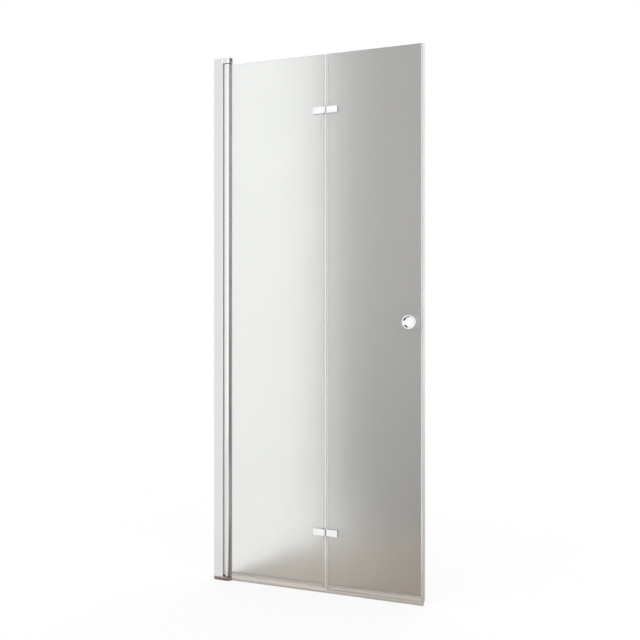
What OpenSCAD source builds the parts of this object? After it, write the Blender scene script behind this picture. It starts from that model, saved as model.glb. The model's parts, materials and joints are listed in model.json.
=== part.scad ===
// Frameless bifold shower door: a wall profile with a pivot column, two glass panes and two fold hinges.
// X runs along the closed door from the wall, +Y points into the shower, and Z is up.
// The origin is where the wall, the middle of the glass and the shower tray meet. Sizes are in millimetres.

/* [Door] */
// Width from the wall to the closing edge
door_w = 800; // [720:5:1000]
// Height from the shower tray to the top of the wall profile
door_h = 1950; // [1800:10:2100]
// Distance from the wall to the fold line
fold_x = 440; // [400:5:500]
// Gap between the two panes at the fold line
fold_gap = 8; // [7:0.5:12]

/* [Glass] */
// Thickness of both panes
glass_t = 6; // [5:1:8]
// Height of the panes' lower edge above the tray
glass_lift = 17; // [17:1:25]
// Distance from the closing pane's edge to the door's closing edge
glass_setback = 8; // [8:0.5:14]
// Gap between the panes' upper edge and the top pivot bracket
glass_top_gap = 5; // [1:0.5:8]

/* [Wall channel] */
// Width of the channel along the door
channel_w = 36; // [34:1:50]
// Depth of the channel across the door
channel_d = 30; // [28:1:36]
// Wall thickness of the channel
channel_t = 2; // [1.6:0.1:2.5]
// Rounding of the channel's free outer corners
channel_corner = 1.8; // [1:0.1:1.8]
// Diameter of the holes for the wall screws
wall_hole_d = 5.5; // [4.5:0.5:6.5]
// Distance of the outermost wall screws from the channel's ends
wall_hole_inset = 150; // [100:10:250]
// Number of wall screws
wall_hole_count = 4; // [3:1:6]
// Height of the cap under the channel
bottom_cap_h = 8; // [5:1:10]
// Thickness of the cap on the channel
top_cap_t = 2.5; // [2:0.5:4]
// Length of the caps' locating ribs inside the channel
cap_rib_h = 5; // [3:1:8]
// Thickness of the caps' locating ribs
cap_rib_t = 2; // [1.5:0.5:3]

/* [Adjusting profile] */
// How far the adjusting profile reaches into the channel
adjust_reach = 24; // [22:1:26]
// Thickness of the adjusting profile's flanges
adjust_t = 1.5; // [1.2:0.1:2]
// Thickness of the adjusting profile's face
adjust_face_t = 2; // [2:0.1:3]
// Sliding clearance between the adjusting profile and the channel
slide_gap = 0.2; // [0.1:0.05:0.4]
// Thread diameter of the bracket screws
port_screw_d = 3.8; // [3.5:0.1:4.2]
// Wall thickness of the adjusting profile's screw ports
port_wall = 1.3; // [1:0.1:1.6]
// Distance from the middle of the glass to the gasket that wipes the column on its outer side
gasket_y = 9.5; // [9:0.5:10.5]
// Width of the gasket's foot
gasket_foot_w = 2.6; // [2:0.1:3]
// Depth of the groove that holds the gasket's foot
gasket_foot_h = 1; // [0.8:0.1:1.2]
// Clearance between soft seals and the piece they wipe
soft_gap = 0.4; // [0.3:0.1:1]

/* [Locking screws] */
// Number of screws that lock the adjusting profile
lock_count = 3; // [2:1:5]
// Distance of the outermost locking screws from the channel's ends
lock_inset = 120; // [80:10:300]
// Thread diameter of the locking screws
lock_screw_d = 4; // [3.5:0.5:4.5]
// Length of the locking screws under the head
lock_screw_l = 6; // [5:0.5:8]
// Diameter of the cover caps on the locking screws
lock_cap_d = 10.5; // [10:0.5:14]
// Height of the cover caps
lock_cap_h = 3.8; // [3.5:0.1:5]
// Wall thickness of the cover caps
lock_cap_t = 1; // [0.8:0.1:1.2]

/* [Pivot column] */
// Diameter of the column
column_d = 30; // [28:1:34]
// Clearance between the column and the wall channel
column_gap = 1; // [0.8:0.1:3]
// Wall thickness of the column
column_wall = 2.2; // [1.8:0.1:2.6]
// Depth of the slot that grips the glass
slot_depth = 8; // [7:0.5:8.5]
// Wall thickness around the slot
slot_wall = 1.8; // [1.5:0.1:2]
// Thickness of the glazing gasket on each face of the glass
glazing_t = 1.5; // [1:0.1:2]
// Thickness of the glazing gasket under the glass edge
glazing_base = 1; // [0.8:0.1:1.5]
// Length of the plugs in the column's ends
plug_l = 30; // [24:1:50]
// Fitting clearance around the plugs
plug_gap = 0.1; // [0.05:0.05:0.2]

/* [Pivots] */
// Height of the top pivot bracket
top_bracket_h = 20; // [18:1:30]
// Height of the bottom pivot bracket
bottom_bracket_h = 14; // [12:0.5:14]
// How far the brackets stand proud of the column all round
bracket_over = 1; // [0.5:0.1:2]
// Clearance between the brackets and the end of the wall channel
bracket_gap = 0.2; // [0.1:0.1:0.6]
// Height of the tongues that enter the wall channel
tongue_h = 12; // [9:1:14]
// Diameter of the pivot pins
pin_d = 8; // [6:0.5:8.5]
// Radial clearance of the pivot pins in their bushes
pin_gap = 0.05; // [0.02:0.01:0.1]
// How far the pivot pins reach out of the column
pin_reach = 12; // [10:0.5:13]
// How far the pivot pins reach into the plugs
pin_hold = 20; // [15:1:22]
// Wall thickness of the bushes
bush_wall = 2; // [1.5:0.1:2.5]
// Diameter of the bushes' flanges
bush_flange_d = 28; // [15:0.5:28.5]
// Thickness of the bushes' flanges
bush_flange_t = 2.4; // [0.8:0.1:2.6]
// End play between the column and each bush
end_play = 0.2; // [0.1:0.05:0.4]
// Diameter of the bracket screws' heads
port_head_d = 6.8; // [6:0.2:7]
// Height of the bracket screws' heads
port_head_h = 2.4; // [2:0.1:2.8]
// Length of the bracket screws under the head
port_screw_l = 28; // [20:1:35]

/* [Fold hinges] */
// Distance of the fold hinges from the panes' upper and lower edges
hinge_inset = 200; // [150:10:300]
// Height of the hinge plates
hinge_h = 24; // [20:1:32]
// Distance from the fold line to the end of a hinge plate
hinge_half = 46; // [44:1:60]
// Thickness of the outer hinge plates
leaf_t = 6; // [6:0.5:8]
// Thickness of the inner clamp plates
clamp_t = 3.5; // [3.2:0.1:5]
// Corner radius of the hinge plates
leaf_corner = 1.5; // [1:0.5:3]
// Thickness of the pads between metal and glass
pad_t = 1; // [0.8:0.1:1.5]
// How far the pads stay back from the plates' outline
pad_inset = 0.6; // [0.4:0.1:1]
// Diameter of the hinge barrel
barrel_d = 9; // [8:0.5:10]
// Clearance between the barrel and the plates beside it
barrel_gap = 0.5; // [0.4:0.1:1]
// Clearance between one knuckle and the next
knuckle_gap = 0.2; // [0.1:0.05:0.4]
// Diameter of the hinge pins
hinge_pin_d = 4; // [3:0.5:4.5]
// Radial clearance of the hinge pins in the moving knuckle
hinge_pin_gap = 0.05; // [0.02:0.01:0.1]
// Thread diameter of the hinge screws
hinge_screw_d = 5; // [4:0.5:5]
// Head diameter of the hinge screws
hinge_screw_head_d = 9.2; // [8:0.2:9.4]
// Distance from the fold line to the nearer hinge screw
hinge_screw_near = 19; // [17:0.5:22]
// Distance between the two screws of a plate
hinge_screw_pitch = 17; // [15:0.5:19]
// Clearance of screws in threads and pads
screw_gap = 0.05; // [0.02:0.01:0.1]
// Metal left in front of the blind threads
thread_floor = 1.5; // [1:0.5:2]
// Diameter of the holes in the glass for the hinge screws
glass_hole_d = 8; // [7.5:0.5:10]
// Clearance of sleeves and collars in the glass holes
sleeve_gap = 0.1; // [0.05:0.05:0.3]

/* [Knob] */
// Distance of the knob from the closing edge
knob_inset = 50; // [45:1:80]
// Height of the knob above the tray
knob_z = 971; // [850:1:1100]
// Diameter of the knob's head
knob_d = 50; // [36:1:52]
// How far each knob stands off the glass
knob_reach = 27; // [25:0.5:29]
// Height of the knob's head
knob_head_h = 9; // [8:0.5:10]
// Diameter of the knob's neck
knob_neck_d = 17; // [16:0.5:22]
// Diameter of the knob's foot
knob_foot_d = 24; // [23:0.5:28]
// Height of the knob's foot
knob_foot_h = 3; // [2:0.5:4]
// Width of the knob's rim
knob_rim_w = 5; // [4:0.5:7]
// Depth of the dish in the knob's face
knob_dish_h = 4.5; // [3:0.5:5]
// Edge rounding of the knob's head
knob_round = 2; // [1:0.5:2.5]
// Diameter of the stud that joins the two knobs
stud_d = 6; // [5:0.5:6]
// How far the stud reaches into each knob
stud_hold = 12; // [10:0.5:13]
// Diameter of the glass hole for the stud
knob_hole_d = 12; // [11:0.5:14]
// Diameter of the grub screw in the inner knob
grub_d = 4; // [3:0.5:4]

/* [Seals] */
// Wall thickness of the clear seals
seal_t = 1; // [0.8:0.1:1.2]
// How far the upright fold seals grip the panes
fold_seal_leg = 7; // [6:0.5:14]
// How far the closing seal grips the pane
edge_seal_leg = 5.5; // [5:0.5:10]
// Diameter of the closing seal's bulb
edge_bulb_d = 7.5; // [6:0.1:7.8]
// Height of the bottom seals' grip on the panes
bottom_seal_leg = 15; // [12:1:20]
// Clearance between the lips of the bottom seals and the tray
lip_gap = 0.6; // [0.4:0.1:2]
// How far the bottom seal stops short of the closing edge
bottom_seal_short = 4; // [2:0.5:6]
// Clearance between two seals that meet at a corner
seal_joint_gap = 0.5; // [0.3:0.1:1]
// Clearance between the fold seals and the hinges
hinge_seal_gap = 1.5; // [1:0.5:3]

/* [Hidden] */
$fn = 64;
eps = 0.5; // overshoot of cuts and overlap of joined shapes

// Colours of the finishes
chrome = [0.80, 0.81, 0.82];
steel = [0.66, 0.67, 0.68];
nylon = [0.90, 0.90, 0.88];
dark_nylon = [0.12, 0.12, 0.12];
clear_pvc = [0.86, 0.89, 0.88, 0.7];
pane_tint = [0.72, 0.75, 0.74, 0.6];
grey_rubber = [0.45, 0.46, 0.47];

// Wall side
channel_top = door_h - top_cap_t;
inner_half_d = channel_d / 2 - channel_t;
adjust_half_d = inner_half_d - slide_gap;
adjust_x = channel_w - adjust_reach;
adjust_bottom = bottom_cap_h + tongue_h;
top_bracket_z = door_h - top_bracket_h;
port_r = port_screw_d / 2 + screw_gap + port_wall;
port_merge = 0.3; // how far a screw port sinks into the walls that carry it
port_x = channel_w - adjust_face_t - port_r + port_merge;
port_y = adjust_half_d - adjust_t - port_r + port_merge;
lock_x = channel_w - adjust_reach / 2;
lock_head_d = 2 * lock_screw_d - 1;
lock_head_h = lock_cap_h - lock_cap_t - 0.3;

// Column and pivots
axis_x = channel_w + column_gap + column_d / 2;
nose_r = column_d / 2 + bracket_over;
column_bottom = bottom_bracket_h + bush_flange_t + end_play;
column_top = top_bracket_z - bush_flange_t - end_play;
slot_x = column_d / 2 - slot_depth;
slot_w = glass_t + 2 * glazing_t;
bush_r = pin_d / 2 + pin_gap + bush_wall;
bush_l = pin_reach - end_play - bush_flange_t + 0.5;
gasket_x = channel_w + 1.5;
gasket_bulb_r = norm([axis_x - gasket_x, gasket_y]) - column_d / 2 - soft_gap;

// Glass
glass_top = top_bracket_z - glass_top_gap;
glass_h = glass_top - glass_lift;
face_y = glass_t / 2;
hinge_pane_x = axis_x + slot_x + glazing_base;
hinge_pane_end = fold_x - fold_gap / 2;
closing_pane_x = fold_x + fold_gap / 2;
closing_pane_end = door_w - glass_setback;

// Fold hinges, with the axis in the plane of the outer plates' faces
fold_y = -(face_y + pad_t + leaf_t);
hinge_levels = [glass_lift + hinge_inset, glass_top - hinge_inset];
barrel_r = barrel_d / 2;
leaf_x = barrel_r + barrel_gap;
leaf_l = hinge_half - leaf_x;
knuckle_h = hinge_h / 3;
hinge_screws = [hinge_screw_near, hinge_screw_near + hinge_screw_pitch];
screw_bore_d = hinge_screw_d + 2 * screw_gap;
screw_head_h = (hinge_screw_head_d - hinge_screw_d) / 2;
hex_socket_h = 1.6;

// Knob
knob_x = door_w - knob_inset;
knob_base_y = face_y + pad_t;
knob_dish_r = knob_d / 2 - knob_rim_w;
knob_dish_sphere = (knob_dish_r * knob_dish_r + knob_dish_h * knob_dish_h) / (2 * knob_dish_h);
knob_washer_r = knob_foot_d / 2 - pad_inset;
knob_head_z = knob_reach - pad_t - knob_head_h;
grub_z = 2 * grub_d;

// Seals
seal_y = face_y + seal_t;
fold_bulb_r = (fold_gap - 2 * seal_t - soft_gap) / 2;
bulb_merge = 0.3; // how far a bulb sinks into the web that carries it
bottom_seal_x = axis_x + nose_r + 1;
hinge_clear = hinge_h / 2 + hinge_seal_gap;

// ---- Shared shapes ----

// A list of count values spread evenly from first to last
function spread(first, last, count) = [for (i = [0 : count - 1]) first + i * (last - first) / (count - 1)];

// A straight length of an upright section, from one height to another
module upright(from, to) {
    translate([0, 0, from])
        linear_extrude(to - from)
            children();
}

// A round bar or hole along +Y, starting at y
module along_y(x, y, z, d, l) {
    translate([x, y, z])
        rotate([-90, 0, 0])
            cylinder(d = d, h = l);
}

// A rectangle with round corners, from its lower left corner
module rounded_rectangle(w, h, r) {
    translate([r, 0])
        square([w - 2 * r, h]);
    translate([0, r])
        square([w, h - 2 * r]);
    for (x = [r, w - r], y = [r, h - r])
        translate([x, y])
            circle(r);
}

// ---- Wall side ----

// Heights of the wall screws and of the locking screws
function wall_hole_levels() = spread(wall_hole_inset, door_h - wall_hole_inset, wall_hole_count);
function lock_levels() = spread(lock_inset, door_h - lock_inset, lock_count);

// The channel's plan outline, filled
module channel_outline() {
    translate([0, -channel_d / 2])
        square([channel_w - channel_corner, channel_d]);
    translate([0, -channel_d / 2 + channel_corner])
        square([channel_w, channel_d - 2 * channel_corner]);
    for (side = [-1, 1])
        translate([channel_w - channel_corner, side * (channel_d / 2 - channel_corner)])
            circle(channel_corner);
}

module wall_channel() {
    color(chrome)
        difference() {
            upright(bottom_cap_h, channel_top)
                difference() {
                    channel_outline();
                    translate([channel_t, -inner_half_d])
                        square([channel_w, 2 * inner_half_d]);
                }
            for (z = wall_hole_levels())
                translate([-eps, 0, z])
                    rotate([0, 90, 0])
                        cylinder(d = wall_hole_d, h = channel_t + 2 * eps);
            for (z = lock_levels())
                along_y(lock_x, inner_half_d - eps, z, lock_screw_d + 2 * screw_gap, channel_t + 2 * eps);
        }
}

// Two ribs that hold a cap inside the channel's flanges
module cap_ribs(from, to) {
    for (side = [-1, 1])
        upright(from, to)
            translate([channel_t + slide_gap, side * (inner_half_d - slide_gap - cap_rib_t / 2) - cap_rib_t / 2])
                square([adjust_x - channel_t - 3 * slide_gap, cap_rib_t]);
}

module channel_top_cap() {
    color(chrome) {
        upright(channel_top, door_h)
            channel_outline();
        cap_ribs(channel_top - cap_rib_h, channel_top + eps);
    }
}

module channel_bottom_cap() {
    color(chrome) {
        upright(0, bottom_cap_h)
            channel_outline();
        cap_ribs(bottom_cap_h - eps, bottom_cap_h + cap_rib_h);
    }
}

module adjusting_profile() {
    color(chrome)
        difference() {
            upright(adjust_bottom, top_bracket_z)
                difference() {
                    union() {
                        difference() {
                            translate([adjust_x, -adjust_half_d])
                                square([adjust_reach, 2 * adjust_half_d]);
                            translate([adjust_x - eps, adjust_t - adjust_half_d])
                                square([adjust_reach - adjust_face_t + eps, 2 * (adjust_half_d - adjust_t)]);
                            translate([channel_w - gasket_foot_h, -gasket_y - gasket_foot_w / 2])
                                square([gasket_foot_h + eps, gasket_foot_w]);
                        }
                        for (side = [-1, 1])
                            translate([port_x, side * port_y])
                                circle(port_r);
                    }
                    for (side = [-1, 1])
                        translate([port_x, side * port_y])
                            circle(d = port_screw_d + 2 * screw_gap);
                }
            for (z = lock_levels())
                along_y(lock_x, 0, z, lock_screw_d + 2 * screw_gap, inner_half_d);
        }
}

module column_gasket() {
    color(grey_rubber)
        upright(adjust_bottom, top_bracket_z - soft_gap) {
            translate([channel_w - gasket_foot_h, -gasket_y - gasket_foot_w / 2])
                square([gasket_foot_h + eps, gasket_foot_w]);
            intersection() {
                translate([gasket_x, -gasket_y])
                    circle(gasket_bulb_r);
                translate([channel_w, -column_d])
                    square([column_d, column_d]);
            }
        }
}

// The brackets' outline around the pivot axis
module nose_outline() {
    translate([axis_x, 0])
        circle(nose_r);
    translate([channel_w + bracket_gap, -nose_r])
        square([axis_x - channel_w - bracket_gap, 2 * nose_r]);
}

// The brackets' outline inside the wall channel
module tongue_outline() {
    translate([adjust_x, -adjust_half_d])
        square([adjust_reach + bracket_gap + eps, 2 * adjust_half_d]);
}

// Two shapes on the axes of the adjusting profile's screw ports
module at_ports(z) {
    for (side = [-1, 1])
        translate([port_x, side * port_y, z])
            children();
}

module top_pivot_bracket() {
    color(chrome)
        difference() {
            union() {
                upright(top_bracket_z, door_h)
                    nose_outline();
                upright(top_bracket_z, top_bracket_z + tongue_h)
                    tongue_outline();
            }
            translate([axis_x, 0, top_bracket_z - eps])
                cylinder(r = bush_r, h = bush_l + eps);
            at_ports(top_bracket_z - eps)
                cylinder(d = port_screw_d + 2 * screw_gap, h = tongue_h + 2 * eps);
        }
}

module bottom_pivot_bracket() {
    color(chrome)
        difference() {
            union() {
                upright(0, bottom_bracket_h)
                    nose_outline();
                upright(bottom_cap_h, adjust_bottom)
                    tongue_outline();
            }
            translate([axis_x, 0, bottom_bracket_h - bush_l])
                cylinder(r = bush_r, h = bush_l + eps);
            at_ports(bottom_cap_h - eps)
                cylinder(d = port_screw_d + 2 * screw_gap, h = tongue_h + 2 * eps);
            at_ports(bottom_cap_h - eps)
                cylinder(d = port_head_d + 2 * slide_gap, h = port_head_h + eps);
        }
}

// A flanged bush whose flange lies on z = 0 and whose sleeve points down
module flanged_bush() {
    difference() {
        union() {
            cylinder(d = bush_flange_d, h = bush_flange_t);
            translate([0, 0, -bush_l])
                cylinder(r = bush_r, h = bush_l + eps);
        }
        translate([0, 0, -bush_l - eps])
            cylinder(r = pin_d / 2 + pin_gap, h = bush_l + bush_flange_t + 2 * eps);
    }
}

module top_pivot_bush() {
    color(dark_nylon)
        translate([axis_x, 0, top_bracket_z])
            mirror([0, 0, 1])
                flanged_bush();
}

module bottom_pivot_bush() {
    color(dark_nylon)
        translate([axis_x, 0, bottom_bracket_h])
            flanged_bush();
}

// A pan head screw standing on z = 0 and pointing down, with a cross-slot in its head
module pan_screw(d, l, head_d, head_h) {
    slot_w = d / 5;
    difference() {
        union() {
            cylinder(d = head_d, h = head_h);
            translate([0, 0, -l])
                cylinder(d = d, h = l + head_h / 2);
        }
        for (turn = [0, 90])
            rotate(turn)
                translate([-d / 2, -slot_w / 2, head_h / 2])
                    cube([d, slot_w, head_h]);
    }
}

module port_screw() {
    pan_screw(port_screw_d, port_screw_l, port_head_d, port_head_h);
}

module top_bracket_screws() {
    color(steel)
        at_ports(top_bracket_z + tongue_h)
            port_screw();
}

module bottom_bracket_screws() {
    color(steel)
        at_ports(bottom_cap_h + port_head_h)
            mirror([0, 0, 1])
                port_screw();
}

// Shapes on the channel's inner face, one at each locking screw, pointing into the shower
module at_locks() {
    for (z = lock_levels())
        translate([lock_x, channel_d / 2, z])
            rotate([-90, 0, 0])
                children();
}

module locking_screws() {
    color(steel)
        at_locks()
            pan_screw(lock_screw_d, lock_screw_l, lock_head_d, lock_head_h);
}

module locking_screw_caps() {
    color(chrome)
        at_locks()
            difference() {
                cylinder(d = lock_cap_d, h = lock_cap_h);
                translate([0, 0, -eps])
                    cylinder(d = lock_cap_d - 2 * lock_cap_t, h = lock_cap_h - lock_cap_t + eps);
            }
}

// ---- Pivot column and hinge-side pane ----

// The column's hollow, drawn in by a clearance, with the walls of the glass slot left standing
module column_hollow(gap) {
    difference() {
        circle(d = column_d - 2 * column_wall - 2 * gap);
        translate([slot_x - slot_wall - gap, -slot_w / 2 - slot_wall - gap])
            square([column_d, slot_w + 2 * slot_wall + 2 * gap]);
    }
}

module pivot_column() {
    color(chrome)
        translate([axis_x, 0])
            upright(column_bottom, column_top)
                difference() {
                    circle(d = column_d);
                    column_hollow(0);
                    translate([slot_x, -slot_w / 2])
                        square([column_d, slot_w]);
                }
}

// A plug in the column's hollow, from one height to another, bored for a pivot pin
module column_plug(from, to, pin_from) {
    color(nylon)
        translate([axis_x, 0])
            difference() {
                upright(from, to)
                    column_hollow(plug_gap);
                upright(pin_from, pin_from + pin_hold)
                    circle(d = pin_d);
            }
}

module top_column_plug() {
    column_plug(column_top - plug_l, column_top, column_top - pin_hold);
}

module bottom_column_plug() {
    column_plug(column_bottom, column_bottom + plug_l, column_bottom);
}

module pivot_pin(from) {
    color(steel)
        translate([axis_x, 0, from])
            cylinder(d = pin_d, h = pin_hold + pin_reach);
}

module top_pivot_pin() {
    pivot_pin(column_top - pin_hold);
}

module bottom_pivot_pin() {
    pivot_pin(column_bottom - pin_reach);
}

module glazing_gasket() {
    gasket_start = axis_x + slot_x;
    gasket_l = slot_depth - (column_d - sqrt(column_d * column_d - slot_w * slot_w)) / 2;
    color(grey_rubber)
        upright(max(column_bottom, glass_lift), min(column_top, glass_top))
            difference() {
                translate([gasket_start, -slot_w / 2])
                    square([gasket_l, slot_w]);
                translate([hinge_pane_x, -face_y])
                    square([gasket_l, glass_t]);
            }
}

// Holes through a pane for the screws of one leaf of both fold hinges; side is -1 towards the wall
module hinge_holes(side) {
    for (z = hinge_levels, x = hinge_screws)
        along_y(fold_x + side * x, -face_y - eps, z, glass_hole_d, glass_t + 2 * eps);
}

// A pane between two places along the door
module pane(from, to) {
    translate([from, -face_y, glass_lift])
        cube([to - from, glass_t, glass_h]);
}

module hinge_side_glass() {
    color(pane_tint)
        difference() {
            pane(hinge_pane_x, hinge_pane_end);
            hinge_holes(-1);
        }
}

module closing_side_glass() {
    color(pane_tint)
        difference() {
            pane(closing_pane_x, closing_pane_end);
            hinge_holes(1);
            along_y(knob_x, -face_y - eps, knob_z, knob_hole_d, glass_t + 2 * eps);
        }
}

// ---- Seals ----

// A bottom seal: grips on both faces of a pane over one stretch, and a web with two lips under it over another
module bottom_seal(grip_from, grip_to, web_from, web_to) {
    lip_root = glass_lift - seal_t;
    color(clear_pvc) {
        for (y = [-seal_y, face_y])
            translate([grip_from, y, lip_root])
                cube([grip_to - grip_from, seal_t, bottom_seal_leg + seal_t]);
        translate([web_from, 0, 0])
            rotate([90, 0, 90])
                linear_extrude(web_to - web_from) {
                    translate([-seal_y, lip_root])
                        square([2 * seal_y, seal_t]);
                    // outer lip, hanging straight down
                    polygon([
                        [-seal_y, glass_lift], [-face_y, glass_lift],
                        [-face_y - 0.2 * seal_t, lip_gap], [-seal_y, lip_gap]
                    ]);
                    // inner lip, leaning into the shower to throw water back
                    polygon([
                        [face_y - 2 * seal_t, glass_lift], [face_y - seal_t, glass_lift],
                        [seal_y + seal_t, lip_root / 3], [seal_y + seal_t / 4, lip_root / 3]
                    ]);
                }
    }
}

module hinge_side_bottom_seal() {
    bottom_seal(
        bottom_seal_x, hinge_pane_end - fold_seal_leg - seal_joint_gap,
        bottom_seal_x, closing_pane_x - soft_gap
    );
}

module closing_side_bottom_seal() {
    bottom_seal(
        closing_pane_x + fold_seal_leg + seal_joint_gap, closing_pane_end - edge_seal_leg - seal_joint_gap,
        closing_pane_x, door_w - bottom_seal_short
    );
}

// The plan of an upright seal's grip: two legs on a pane and a web across its edge.
// edge is the pane's edge, and side is -1 where the pane lies towards the wall
module seal_grip(edge, side, leg) {
    mirror([side < 0 ? 1 : 0, 0])
        translate([side * edge - seal_t, 0]) {
            translate([0, -seal_y])
                square([seal_t, 2 * seal_y]);
            for (y = [-seal_y, face_y])
                translate([0, y])
                    square([leg + seal_t, seal_t]);
        }
}

// The stretches of an upright fold seal between and beyond the hinges
module fold_seal_runs() {
    upright(glass_lift, hinge_levels[0] - hinge_clear)
        children();
    upright(hinge_levels[0] + hinge_clear, hinge_levels[1] - hinge_clear)
        children();
    upright(hinge_levels[1] + hinge_clear, glass_top)
        children();
}

module fold_bulb_seal() {
    bulb_x = hinge_pane_end + seal_t + fold_bulb_r - bulb_merge;
    color(clear_pvc)
        fold_seal_runs()
            difference() {
                union() {
                    seal_grip(hinge_pane_end, -1, fold_seal_leg);
                    translate([bulb_x, 0])
                        circle(fold_bulb_r);
                }
                translate([bulb_x, 0])
                    circle(fold_bulb_r - 0.7 * seal_t);
            }
}

module fold_strike_seal() {
    color(clear_pvc)
        fold_seal_runs()
            seal_grip(closing_pane_x, 1, fold_seal_leg);
}

module closing_edge_seal() {
    bulb_r = edge_bulb_d / 2;
    bulb_x = door_w - bulb_r;
    web_w = glass_setback - edge_bulb_d + bulb_merge;
    color(clear_pvc)
        upright(glass_lift, glass_top)
            difference() {
                union() {
                    seal_grip(closing_pane_end, -1, edge_seal_leg);
                    translate([closing_pane_end, -seal_y])
                        square([web_w, 2 * seal_y]);
                    translate([bulb_x, 0])
                        circle(bulb_r);
                }
                translate([bulb_x, 0])
                    circle(bulb_r - seal_t);
            }
}

// ---- Fold hinges ----

// Places a leaf's shapes on the fold line: side is -1 for the fixed leaf and 1 for the moving leaf
module at_fold(side, z) {
    translate([fold_x, 0, z])
        mirror([side < 0 ? 1 : 0, 0, 0])
            children();
}

// A hinge plate standing on the glass side of y, inset all round
module hinge_plate(y, t, inset) {
    translate([leaf_x + inset, y + t, -hinge_h / 2 + inset])
        rotate([90, 0, 0])
            linear_extrude(t)
                rounded_rectangle(leaf_l - 2 * inset, hinge_h - 2 * inset, leaf_corner);
}

// A length of the hinge barrel with the arm that joins it to its plate
module knuckle(from, to) {
    translate([0, fold_y, from]) {
        cylinder(r = barrel_r, h = to - from);
        cube([leaf_x + eps, barrel_r, to - from]);
    }
}

// The bore of the hinge barrel
module barrel_bore(gap) {
    translate([0, fold_y, -hinge_h / 2 - eps])
        cylinder(d = hinge_pin_d + 2 * gap, h = hinge_h + 2 * eps);
}

// Blind threads in the glass side of an outer plate
module blind_threads() {
    for (x = hinge_screws)
        along_y(x, fold_y + thread_floor, 0, screw_bore_d, leaf_t);
}

module fixed_leaf(z) {
    color(chrome)
        at_fold(-1, z)
            difference() {
                union() {
                    hinge_plate(fold_y, leaf_t, 0);
                    knuckle(-hinge_h / 2, -(knuckle_h + knuckle_gap) / 2);
                    knuckle((knuckle_h + knuckle_gap) / 2, hinge_h / 2);
                }
                barrel_bore(0);
                blind_threads();
            }
}

module moving_leaf(z) {
    color(chrome)
        at_fold(1, z)
            difference() {
                union() {
                    hinge_plate(fold_y, leaf_t, 0);
                    knuckle(-(knuckle_h - knuckle_gap) / 2, (knuckle_h - knuckle_gap) / 2);
                }
                barrel_bore(hinge_pin_gap);
                blind_threads();
            }
}

module hinge_pin(z) {
    color(steel)
        translate([fold_x, fold_y, z - hinge_h / 2])
            cylinder(d = hinge_pin_d, h = hinge_h);
}

module clamp_plate(side, z) {
    color(chrome)
        at_fold(side, z)
            difference() {
                hinge_plate(face_y + pad_t, clamp_t, 0);
                for (x = hinge_screws) {
                    along_y(x, face_y, 0, screw_bore_d, clamp_t + pad_t + eps);
                    translate([x, face_y + pad_t + clamp_t - screw_head_h, 0])
                        rotate([-90, 0, 0])
                            cylinder(d1 = screw_bore_d, d2 = hinge_screw_head_d + 2 * screw_gap, h = screw_head_h);
                }
            }
}

// A pad under a hinge plate, with collars that line the glass holes; face is -1 outside and 1 inside
module hinge_pad(side, z, face) {
    collar_l = face_y - sleeve_gap;
    color(grey_rubber)
        at_fold(side, z)
            mirror([0, face < 0 ? 1 : 0, 0])
                difference() {
                    union() {
                        hinge_plate(face_y, pad_t, pad_inset);
                        for (x = hinge_screws)
                            along_y(x, face_y - collar_l, 0, glass_hole_d - 2 * sleeve_gap, collar_l + pad_t);
                    }
                    for (x = hinge_screws)
                        along_y(x, -eps, 0, screw_bore_d, face_y + pad_t + 2 * eps);
                }
}

// Countersunk screws through the clamp plate, the glass and into the outer plate
module hinge_screw_pair(side, z) {
    head_y = face_y + pad_t + clamp_t;
    shank_end = fold_y + thread_floor + 2 * screw_gap;
    color(steel)
        at_fold(side, z)
            for (x = hinge_screws)
                difference() {
                    union() {
                        along_y(x, shank_end, 0, hinge_screw_d, head_y - screw_head_h - shank_end);
                        translate([x, head_y - screw_head_h, 0])
                            rotate([-90, 0, 0])
                                cylinder(d1 = hinge_screw_d, d2 = hinge_screw_head_d, h = screw_head_h);
                    }
                    translate([x, head_y - hex_socket_h, 0])
                        rotate([-90, 0, 0])
                            cylinder(d = 0.7 * hinge_screw_d, h = hex_socket_h + eps, $fn = 6);
                }
}

// ---- Knob ----

// A knob standing on z = 0, bored from below for the stud
module knob_body() {
    head_r = knob_d / 2;
    neck_r = knob_neck_d / 2;
    top_z = knob_head_z + knob_head_h;
    difference() {
        rotate_extrude() {
            square([knob_foot_d / 2, knob_foot_h]);
            square([neck_r, knob_head_z + eps]);
            // flare from the neck to the underside of the head
            polygon([
                [0, (knob_foot_h + knob_head_z) / 2], [neck_r, (knob_foot_h + knob_head_z) / 2],
                [head_r - knob_round, knob_head_z], [head_r - knob_round, knob_head_z + eps],
                [0, knob_head_z + eps]
            ]);
            difference() {
                union() {
                    translate([0, knob_head_z])
                        square([head_r - knob_round, knob_head_h]);
                    translate([0, knob_head_z + knob_round])
                        square([head_r, knob_head_h - 2 * knob_round]);
                    for (z = [knob_head_z + knob_round, top_z - knob_round])
                        translate([head_r - knob_round, z])
                            circle(knob_round);
                }
                translate([0, top_z - knob_dish_h + knob_dish_sphere])
                    circle(knob_dish_sphere);
            }
        }
        translate([0, 0, -eps])
            cylinder(d = stud_d + 2 * screw_gap, h = stud_hold + sleeve_gap + eps);
    }
}

// Places a shape that stands on z = 0 against the washer on one face of the glass
module on_pane(face) {
    translate([knob_x, face * knob_base_y, knob_z])
        rotate([-90 * face, 0, 0])
            children();
}

module outer_knob() {
    color(chrome)
        on_pane(-1)
            knob_body();
}

module inner_knob() {
    color(chrome)
        difference() {
            on_pane(1)
                knob_body();
            translate([knob_x, knob_base_y + grub_z, knob_z - knob_d / 2])
                cylinder(d = grub_d + 2 * screw_gap, h = knob_d / 2);
        }
}

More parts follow.
